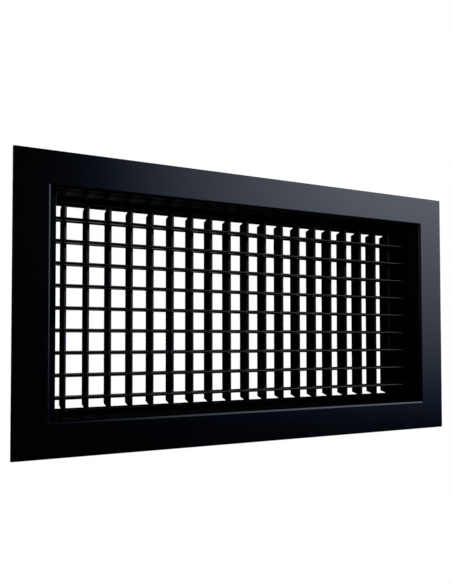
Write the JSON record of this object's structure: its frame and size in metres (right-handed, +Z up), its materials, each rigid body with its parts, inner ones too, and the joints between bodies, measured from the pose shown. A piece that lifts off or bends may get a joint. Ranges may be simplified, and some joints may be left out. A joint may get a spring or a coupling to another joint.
{
  "type": "louvred air grille",
  "caption": "Double-deflection air grille: flanged rectangular frame with a row of horizontal blades in front of a row of vertical blades, each turning on its own pins.",
  "frame": {"origin": "centre of the seating plane, where the flange's rear rim meets the wall, on the centre line of the opening", "axes": "+X along the long side, to the right as seen from the room; +Y into the wall, along the air path towards the duct; +Z up"},
  "size_m": [0.452, 0.05, 0.252],
  "materials": {
    "black_powder_coat": "semi-gloss black powder coat on extruded aluminium",
    "mill_aluminium": "mill finish",
    "black_nylon": "moulded nylon, matte",
    "spring_steel": "rolled spring strip",
    "foam": "closed-cell foam"
  },
  "bodies": {
    "frame": {"frame_top": "black_powder_coat", "frame_bottom": "black_powder_coat", "frame_left": "black_powder_coat", "frame_right": "black_powder_coat", "corner_key_top_left": "mill_aluminium", "corner_key_top_right": "mill_aluminium", "corner_key_bottom_left": "mill_aluminium", "corner_key_bottom_right": "mill_aluminium", "foam_gasket": "foam", "blade_rail_top": "black_powder_coat", "blade_rail_bottom": "black_powder_coat", "blade_rail_left": "black_powder_coat", "blade_rail_right": "black_powder_coat", "bushings_top": "black_nylon", "bushings_bottom": "black_nylon", "bushings_left": "black_nylon", "bushings_right": "black_nylon", "rail_rivets": "mill_aluminium", "clip_rivets": "mill_aluminium", "spring_clip_top_left": "spring_steel", "spring_clip_top_right": "spring_steel", "spring_clip_bottom_left": "spring_steel", "spring_clip_bottom_right": "spring_steel"},
    "front_blade_1": {"front_blade_1": "black_powder_coat"},
    "front_blade_2": {"front_blade_2": "black_powder_coat"},
    "front_blade_3": {"front_blade_3": "black_powder_coat"},
    "front_blade_4": {"front_blade_4": "black_powder_coat"},
    "front_blade_5": {"front_blade_5": "black_powder_coat"},
    "front_blade_6": {"front_blade_6": "black_powder_coat"},
    "front_blade_7": {"front_blade_7": "black_powder_coat"},
    "front_blade_8": {"front_blade_8": "black_powder_coat"},
    "front_blade_9": {"front_blade_9": "black_powder_coat"},
    "rear_blade_01": {"rear_blade_01": "black_powder_coat"},
    "rear_blade_02": {"rear_blade_02": "black_powder_coat"},
    "rear_blade_03": {"rear_blade_03": "black_powder_coat"},
    "rear_blade_04": {"rear_blade_04": "black_powder_coat"},
    "rear_blade_05": {"rear_blade_05": "black_powder_coat"},
    "rear_blade_06": {"rear_blade_06": "black_powder_coat"},
    "rear_blade_07": {"rear_blade_07": "black_powder_coat"},
    "rear_blade_08": {"rear_blade_08": "black_powder_coat"},
    "rear_blade_09": {"rear_blade_09": "black_powder_coat"},
    "rear_blade_10": {"rear_blade_10": "black_powder_coat"},
    "rear_blade_11": {"rear_blade_11": "black_powder_coat"},
    "rear_blade_12": {"rear_blade_12": "black_powder_coat"},
    "rear_blade_13": {"rear_blade_13": "black_powder_coat"},
    "rear_blade_14": {"rear_blade_14": "black_powder_coat"},
    "rear_blade_15": {"rear_blade_15": "black_powder_coat"},
    "rear_blade_16": {"rear_blade_16": "black_powder_coat"},
    "rear_blade_17": {"rear_blade_17": "black_powder_coat"},
    "rear_blade_18": {"rear_blade_18": "black_powder_coat"},
    "rear_blade_19": {"rear_blade_19": "black_powder_coat"}
  },
  "joints": [
    {"name": "front_blade_1_tilt", "type": "hinge", "parent": "frame", "child": "front_blade_1", "pos_m": [0, 0.0126, 0.07369], "axis": [1, 0, 0], "range_deg": [-45, 45]},
    {"name": "front_blade_2_tilt", "type": "hinge", "parent": "frame", "child": "front_blade_2", "pos_m": [0, 0.0126, 0.05463], "axis": [1, 0, 0], "range_deg": [-45, 45]},
    {"name": "front_blade_3_tilt", "type": "hinge", "parent": "frame", "child": "front_blade_3", "pos_m": [0, 0.0126, 0.03557], "axis": [1, 0, 0], "range_deg": [-45, 45]},
    {"name": "front_blade_4_tilt", "type": "hinge", "parent": "frame", "child": "front_blade_4", "pos_m": [0, 0.0126, 0.01651], "axis": [1, 0, 0], "range_deg": [-45, 45]},
    {"name": "front_blade_5_tilt", "type": "hinge", "parent": "frame", "child": "front_blade_5", "pos_m": [0, 0.0126, -0.00255], "axis": [1, 0, 0], "range_deg": [-45, 45]},
    {"name": "front_blade_6_tilt", "type": "hinge", "parent": "frame", "child": "front_blade_6", "pos_m": [0, 0.0126, -0.02161], "axis": [1, 0, 0], "range_deg": [-45, 45]},
    {"name": "front_blade_7_tilt", "type": "hinge", "parent": "frame", "child": "front_blade_7", "pos_m": [0, 0.0126, -0.04067], "axis": [1, 0, 0], "range_deg": [-45, 45]},
    {"name": "front_blade_8_tilt", "type": "hinge", "parent": "frame", "child": "front_blade_8", "pos_m": [0, 0.0126, -0.05973], "axis": [1, 0, 0], "range_deg": [-45, 45]},
    {"name": "front_blade_9_tilt", "type": "hinge", "parent": "frame", "child": "front_blade_9", "pos_m": [0, 0.0126, -0.07879], "axis": [1, 0, 0], "range_deg": [-45, 45]},
    {"name": "rear_blade_01_turn", "type": "hinge", "parent": "frame", "child": "rear_blade_01", "pos_m": [-0.18, 0.0285, 0], "axis": [0, 0, 1], "range_deg": [-45, 45]},
    {"name": "rear_blade_02_turn", "type": "hinge", "parent": "frame", "child": "rear_blade_02", "pos_m": [-0.16, 0.0285, 0], "axis": [0, 0, 1], "range_deg": [-45, 45]},
    {"name": "rear_blade_03_turn", "type": "hinge", "parent": "frame", "child": "rear_blade_03", "pos_m": [-0.14, 0.0285, 0], "axis": [0, 0, 1], "range_deg": [-45, 45]},
    {"name": "rear_blade_04_turn", "type": "hinge", "parent": "frame", "child": "rear_blade_04", "pos_m": [-0.12, 0.0285, 0], "axis": [0, 0, 1], "range_deg": [-45, 45]},
    {"name": "rear_blade_05_turn", "type": "hinge", "parent": "frame", "child": "rear_blade_05", "pos_m": [-0.1, 0.0285, 0], "axis": [0, 0, 1], "range_deg": [-45, 45]},
    {"name": "rear_blade_06_turn", "type": "hinge", "parent": "frame", "child": "rear_blade_06", "pos_m": [-0.08, 0.0285, 0], "axis": [0, 0, 1], "range_deg": [-45, 45]},
    {"name": "rear_blade_07_turn", "type": "hinge", "parent": "frame", "child": "rear_blade_07", "pos_m": [-0.06, 0.0285, 0], "axis": [0, 0, 1], "range_deg": [-45, 45]},
    {"name": "rear_blade_08_turn", "type": "hinge", "parent": "frame", "child": "rear_blade_08", "pos_m": [-0.04, 0.0285, 0], "axis": [0, 0, 1], "range_deg": [-45, 45]},
    {"name": "rear_blade_09_turn", "type": "hinge", "parent": "frame", "child": "rear_blade_09", "pos_m": [-0.02, 0.0285, 0], "axis": [0, 0, 1], "range_deg": [-45, 45]},
    {"name": "rear_blade_10_turn", "type": "hinge", "parent": "frame", "child": "rear_blade_10", "pos_m": [0, 0.0285, 0], "axis": [0, 0, 1], "range_deg": [-45, 45]},
    {"name": "rear_blade_11_turn", "type": "hinge", "parent": "frame", "child": "rear_blade_11", "pos_m": [0.02, 0.0285, 0], "axis": [0, 0, 1], "range_deg": [-45, 45]},
    {"name": "rear_blade_12_turn", "type": "hinge", "parent": "frame", "child": "rear_blade_12", "pos_m": [0.04, 0.0285, 0], "axis": [0, 0, 1], "range_deg": [-45, 45]},
    {"name": "rear_blade_13_turn", "type": "hinge", "parent": "frame", "child": "rear_blade_13", "pos_m": [0.06, 0.0285, 0], "axis": [0, 0, 1], "range_deg": [-45, 45]},
    {"name": "rear_blade_14_turn", "type": "hinge", "parent": "frame", "child": "rear_blade_14", "pos_m": [0.08, 0.0285, 0], "axis": [0, 0, 1], "range_deg": [-45, 45]},
    {"name": "rear_blade_15_turn", "type": "hinge", "parent": "frame", "child": "rear_blade_15", "pos_m": [0.1, 0.0285, 0], "axis": [0, 0, 1], "range_deg": [-45, 45]},
    {"name": "rear_blade_16_turn", "type": "hinge", "parent": "frame", "child": "rear_blade_16", "pos_m": [0.12, 0.0285, 0], "axis": [0, 0, 1], "range_deg": [-45, 45]},
    {"name": "rear_blade_17_turn", "type": "hinge", "parent": "frame", "child": "rear_blade_17", "pos_m": [0.14, 0.0285, 0], "axis": [0, 0, 1], "range_deg": [-45, 45]},
    {"name": "rear_blade_18_turn", "type": "hinge", "parent": "frame", "child": "rear_blade_18", "pos_m": [0.16, 0.0285, 0], "axis": [0, 0, 1], "range_deg": [-45, 45]},
    {"name": "rear_blade_19_turn", "type": "hinge", "parent": "frame", "child": "rear_blade_19", "pos_m": [0.18, 0.0285, 0], "axis": [0, 0, 1], "range_deg": [-45, 45]}
  ]
}
